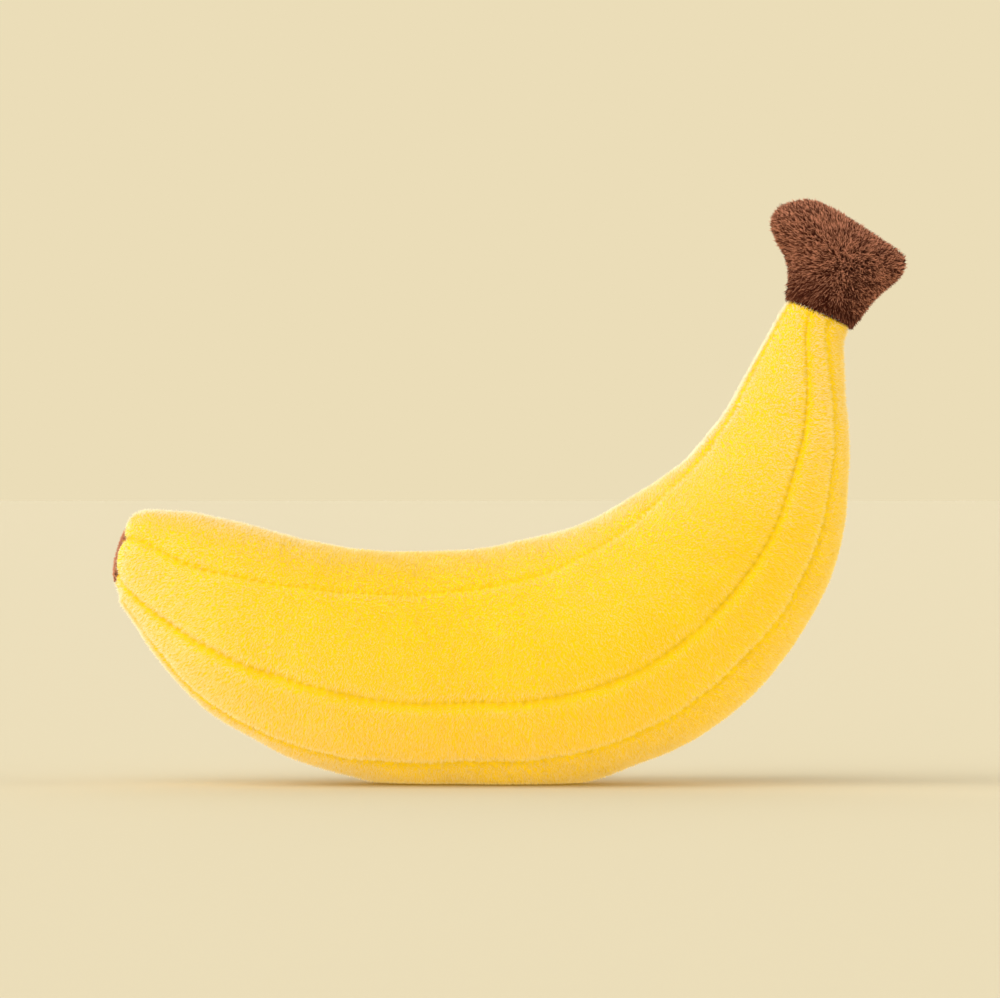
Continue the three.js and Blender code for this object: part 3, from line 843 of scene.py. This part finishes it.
turn = 2 * np.pi * np.arange(TIP_STITCHES)[:, None] / TIP_STITCHES
round_way = np.sin(turn) * tip_up + np.cos(turn) * FRONT
tip_row = stitches(
    "tip_stitches",
    tip_middle + tip_inward * TIP_STITCH_INSET + round_way * (PATCH_RADIUS + 0.6),
    unit(round_way * 0.3 - tip_inward),
    np.cos(turn) * tip_up - np.sin(turn) * FRONT,
    TIP_STITCH_REACH,
    BROWN_STITCH_SLANT,
)
tip_row.data.materials.append(brown_thread)
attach(tip_row, "root")
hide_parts("tip_thread")


# Stem cap
# Two flared halves of longer brown plush, sewn together down both sides and over the top,
# stuffed, and sewn to the gores at the hem. The pile parts near the middle and lies away from it.
CAP_HEM = 1.4
CAP_STATIONS = [0, 0.14, 0.26, 0.4, 0.52, 0.64, 0.8, 1]  # shares of the cap's height
CAP_SHIFT = [0, 0, 0.2, 0.8, 1.8, 3.2, 4.2, 4.2]         # how far its middle leans left there
CAP_HALF_WIDTH = [14.2, 15.3, 16.2, 17.8, 20.2, 23.4, 26.6, 26.8]
CAP_HALF_DEPTH = [13.6, 14.2, 14.8, 15.6, 16.2, 16.8, 17.4, 17.6]
CAP_ACROSS = [-1, -0.7, -0.4, 0, 0.5, 0.8, 1]            # shares of its half width
CAP_TOP = [31.5, 37.4, 38.6, 37.6, 35.8, 34.6, 33.2]     # how high its top edge is there
CAP_CLOSING = 3.2          # how square the cap's side view closes at the top
CAP_PILE = 1.6
CAP_BACKING = 1.2
CAP_SEAM = 0.4             # from the side seam's middle to each half's backing
CAP_HAIRS = 10000
CAP_HAIR_LENGTH = 2.4
CAP_STRAY_HAIRS = 0.08
CAP_STRAY_LENGTH = 1.2
CAP_STRAY_LEAN = 10        # degrees
CAP_LEAN = 14
CAP_SIDE_LEAN = 28
CAP_HEM_LEAN = 24
CAP_LEAN_SPREAD = 12
HAIRS_PER_TUFT = 3
TUFT_PULL = 0.3
SWIRL = 0.35
PARTING = (0.62, 0.1)      # share of the cap's height and half width where the pile parts
SHADED_PATCH = (0.45, 0.5, 0.3)  # the same for a patch of painted shade where the pile lies away from the light, and its size

stem = Section(np.array([1.0]))
stem_middle = np.array([stem.middle[0, 0], 0, stem.middle[0, 1]])
cap_up = np.array([stem.along[0, 0], 0, stem.along[0, 1]])
cap_right = np.array([stem.along[0, 1], 0, -stem.along[0, 0]])


def cap_point(row, across, side, inset):
    """A point of the cap. Row is 0 at the hem and 1 at the top, and side is -1 at the front."""
    half_width = read_table(CAP_STATIONS, CAP_HALF_WIDTH, row) - inset
    half_depth = read_table(CAP_STATIONS, CAP_HALF_DEPTH, row) - inset
    shift = read_table(CAP_STATIONS, CAP_SHIFT, row)
    top = read_table(CAP_ACROSS, CAP_TOP, across) - CAP_HEM - inset
    closing = np.sqrt(np.maximum(1 - row**CAP_CLOSING, 0))
    bulge = np.sqrt(np.maximum(1 - across**2, 0))
    rise = (CAP_HEM + row * top)[..., None] * cap_up
    sideways = (across * half_width - shift)[..., None] * cap_right
    forward = (side * half_depth * closing * bulge)[..., None]
    return stem_middle + rise + sideways + forward * -FRONT


def cap_skin(side, inset):
    """One half's surface of two shares: up from the hem, and across so that it faces outward."""
    def surface(u, v):
        row = np.sin(u * np.pi / 2)
        return cap_point(row, side * np.cos(v * np.pi), side, inset)

    return surface


def cap_sheet(side, name):
    rows, columns = 60, 72
    shares = np.linspace(0, 1, rows), np.linspace(0, 1, columns)
    u, v = np.meshgrid(*shares, indexing="ij")
    outer = cap_skin(side, CAP_PILE)(u, v)
    inner = cap_skin(side, CAP_PILE + CAP_BACKING)(u, v)
    for layer in (outer, inner):
        layer[..., 1] = side * np.maximum(side * layer[..., 1], CAP_SEAM)
    loops = np.concatenate([outer, inner[:, ::-1]], 1)
    loop = 2 * columns
    step = np.arange(columns - 1)
    ends = np.stack([step, step + 1, loop - 2 - step, loop - 1 - step], -1)
    quads = [close_loops(rows, loop), ends, (ends + (rows - 1) * loop)[:, ::-1]]
    return mesh_of(name, loops.reshape(-1, 3), np.vstack(quads))


def into_tufts(place, lean, length):
    """Turns hairs towards the tip of the nearest tuft's leader, and says which tuft it is."""
    leaders = np.arange(0, len(place), HAIRS_PER_TUFT)
    tree = KDTree(len(leaders))
    for k, leader in enumerate(leaders):
        tree.insert(place[leader], k)
    tree.balance()
    led = np.array([tree.find(spot)[1] for spot in place])
    tips = place + lean * length[:, None]
    gathered = tips + TUFT_PULL * (tips[leaders[led]] - tips)
    return unit(gathered - place), led


def cap_pile(side, name):
    backing = cap_skin(side, CAP_PILE)
    u, v, chance = scatter(backing, CAP_HAIRS, seed=300 + side, cells=(80, 90))
    order = chance.permutation(len(u))
    u, v = u[order], v[order]
    place, out, _, _ = frame_at(backing, u, v)
    count = len(u)
    row, across = np.sin(u * np.pi / 2), side * np.cos(v * np.pi)
    away_up = (row - PARTING[0]) * 1.3
    away_right = across - PARTING[1]
    reach = np.hypot(away_up, away_right) + 0.2
    swirl = SWIRL * np.exp(-reach / 0.4)
    at_hem = np.exp(-row / 0.09)
    rise = away_up / reach + swirl - 2.5 * at_hem
    flow = rise[:, None] * cap_up + (away_right / reach - swirl)[:, None] * cap_right
    ruffled = 0.35 + 0.3 * (across > 0)[:, None]
    flow = flow + ruffled * chance.normal(size=(count, 3))
    nap = unit(flow - (flow * out).sum(-1, keepdims=True) * out)
    stray = chance.random(count) < CAP_STRAY_HAIRS
    at_side = np.clip(2.2 * np.abs(out[:, 1]), 0, 1)
    combed = np.clip(0.75 - across, 0, 1)
    lying = CAP_LEAN + CAP_SIDE_LEAN * at_side * combed + CAP_HEM_LEAN * at_hem
    most = np.where(stray, CAP_STRAY_LEAN, lying)
    tilt = np.radians(np.clip(most + CAP_LEAN_SPREAD * chance.normal(size=count), 0, 75))
    lean = unit(out * np.cos(tilt)[:, None] + nap * np.sin(tilt)[:, None])
    length = CAP_HAIR_LENGTH * chance.uniform(0.7, 1.2, count)
    length = length * np.where(stray, CAP_STRAY_LENGTH, 1)
    gathered, tuft = into_tufts(place, lean, length)
    lean = np.where(stray[:, None], lean, gathered)
    tuft_tone = chance.normal(size=tuft.max() + 1)[tuft]
    # Painted shade at the hem, where the cap meets the gores, and on a patch where the pile lies
    # away from the light; painted highlight round the parting and on the stray hairs, for a lit
    # fringe.
    shade_row, shade_across, shade_size = SHADED_PATCH
    painted_shade_patch = near(across - shade_across, shade_size) * near(row - shade_row, shade_size)
    painted_light_and_tone = 0.1 * waves(place, 11, seed=31) - 0.5 * np.exp(-row / 0.3) - 0.45 * painted_shade_patch
    painted_light_and_tone = painted_light_and_tone + 0.58 * np.exp(-(reach - 0.2) / 0.3) + 0.4 * stray
    tone_and_painted_light = np.clip(0.45 + painted_light_and_tone + 0.2 * tuft_tone + 0.6 * chance.normal(size=count), 0, 1)
    return hairs(
        name,
        place - 0.3 * out,
        lean,
        length,
        BROWN_HAIR_WIDTH * chance.uniform(0.75, 1.25, count),
        unit(out + 0.5 * lean + 0.35 * chance.normal(size=(count, 3))),
        tone_and_painted_light,
        # painted shade at the hem
        0.6 * np.exp(-row / 0.25),
        chance,
        joints=2,
        droop=0.3 * nap,
    )


for side, side_name in ((-1, "front"), (1, "back")):
    half = add_object(f"cap_{side_name}", cap_sheet(side, f"cap_{side_name}"))
    half.data.materials.append(brown_backing)
    pile = cap_pile(side, f"cap_{side_name}_pile")
    pile.data.materials.append(brown_pile)
    for piece in (half, pile):
        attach(piece, "root")
        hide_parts(f"stem_cap_{side_name}")


# Filling
# One mass of loose white polyester fibre that fills the gores and the stem cap, with grooves
# where the seam allowances press into it. It can't be seen from outside.
FILLING_DEPTH = 3.6
GROOVE_DEPTH = 4.8
GROOVE_WIDTH = 2.4
LUMP_HEIGHT = 0.35
LUMP_SIZE = 9
FILLING_START = 0.014  # share of the body's length, behind the tip patch
FILLING_ROWS = 150
FILLING_LOOP = 180
CAP_FILLING_INSET = 5.4
CAP_FILLING_ROWS = [0.08, 0.16, 0.26, 0.36, 0.46, 0.56, 0.66, 0.76, 0.85, 0.91]


def filling_mesh(name):
    angle = -2 * np.pi * np.arange(FILLING_LOOP)[None, :] / FILLING_LOOP
    share = np.linspace(FILLING_START, 1, FILLING_ROWS)[:, None]
    cut = Section(share)
    reach = allowance_share(cut)
    radius = cut.radius - FILLING_DEPTH - CREASE * 0.5 * reach
    groove = np.zeros_like(radius + angle)
    for seam in range(6):
        turn = angle - seam_angle(seam, share)
        aside = np.abs((turn + np.pi) % (2 * np.pi) - np.pi) * radius
        groove = np.maximum(groove, np.exp(-((aside / GROOVE_WIDTH) ** 4)))
    round_filling = cut.place(angle, radius + 0 * angle)
    lumps = LUMP_HEIGHT * (waves(round_filling, LUMP_SIZE, seed=41) - 1)
    body = cut.place(angle, radius - GROOVE_DEPTH * reach * groove + lumps, depth=FILLING_DEPTH)
    row = np.array(CAP_FILLING_ROWS)[:, None]
    side = -np.sign(np.cos(angle) + 1e-9)
    head = cap_point(row + 0 * angle, -np.sin(angle) + 0 * row, side, CAP_FILLING_INSET)
    loops = np.concatenate([body, head])
    return capped_tube(name, loops, loops[0].mean(0), loops[-1].mean(0))


wadding = Finish(bpy.data.materials.new("white_filling"))
place = wadding.node("ShaderNodeTexCoord", output=3)
wisps = {"Vector": place, "Scale": 420.0, "Detail": 6.0}
fluff = wadding.node("ShaderNodeTexNoise", inputs=wisps)
shade = wadding.blend(fluff, colour(0.70, 0.68, 0.64), colour(0.92, 0.91, 0.88))
relief = {"Height": fluff, "Strength": 0.6, "Distance": 0.001}
bump = wadding.node("ShaderNodeBump", inputs=relief)
skin = wadding.node(
    "ShaderNodeBsdfPrincipled",
    inputs={"Base Color": shade, "Roughness": 1.0, "Sheen Weight": 0.3, "Normal": bump},
)
wadding.node("ShaderNodeOutputMaterial", inputs={"Surface": skin})
filling = add_object("fibre_filling", filling_mesh("fibre_filling"))
filling.data.materials.append(wadding.owner)
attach(filling, "root")
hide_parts("stuffing")


# Brown stitching
# Two-ply brown thread: the ring that sews the cap's hem to the gores, and the row up one side of
# the cap, over its top and down the other side. Both lie deep in the pile.
HEM_STITCHES = 24
HEM_INSET = 2.2
HEM_STITCH_REACH = 2.0
CAP_STITCH_INSET = 1.4
CAP_STITCH_REACH = 1.8
CAP_TOP_STITCHES = 17

turn = 2 * np.pi * np.arange(HEM_STITCHES)[:, None] / HEM_STITCHES
round_way = np.sin(turn) * -cap_right + np.cos(turn) * FRONT
hem_row = stitches(
    "hem_stitches",
    stem_middle + cap_up * CAP_HEM / 2 + round_way * (stem.radius[0] - HEM_INSET),
    round_way,
    np.cos(turn) * -cap_right - np.sin(turn) * FRONT,
    HEM_STITCH_REACH,
    BROWN_STITCH_SLANT,
)
side_rows = np.arange(0.05, 0.93, 0.075)
side_end = np.ones_like(side_rows)
top_rows = np.ones(CAP_TOP_STITCHES)
top_across = np.sin(np.linspace(-1, 1, CAP_TOP_STITCHES) * np.pi / 2)
path = np.concatenate([
    cap_point(side_rows, -side_end, 1, CAP_STITCH_INSET),
    cap_point(top_rows, top_across, 1, CAP_STITCH_INSET),
    cap_point(side_rows, side_end, 1, CAP_STITCH_INSET)[::-1],
])
path[:, 1] = 0
ahead = unit(np.gradient(path, axis=0))
out = unit(np.cross(FRONT, ahead))
cap_row = stitches("cap_stitches", path, out, ahead, CAP_STITCH_REACH, BROWN_STITCH_SLANT)
for piece, node in ((hem_row, "hem_thread"), (cap_row, "cap_thread")):
    piece.data.materials.append(brown_thread)
    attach(piece, "root")
    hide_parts(node)
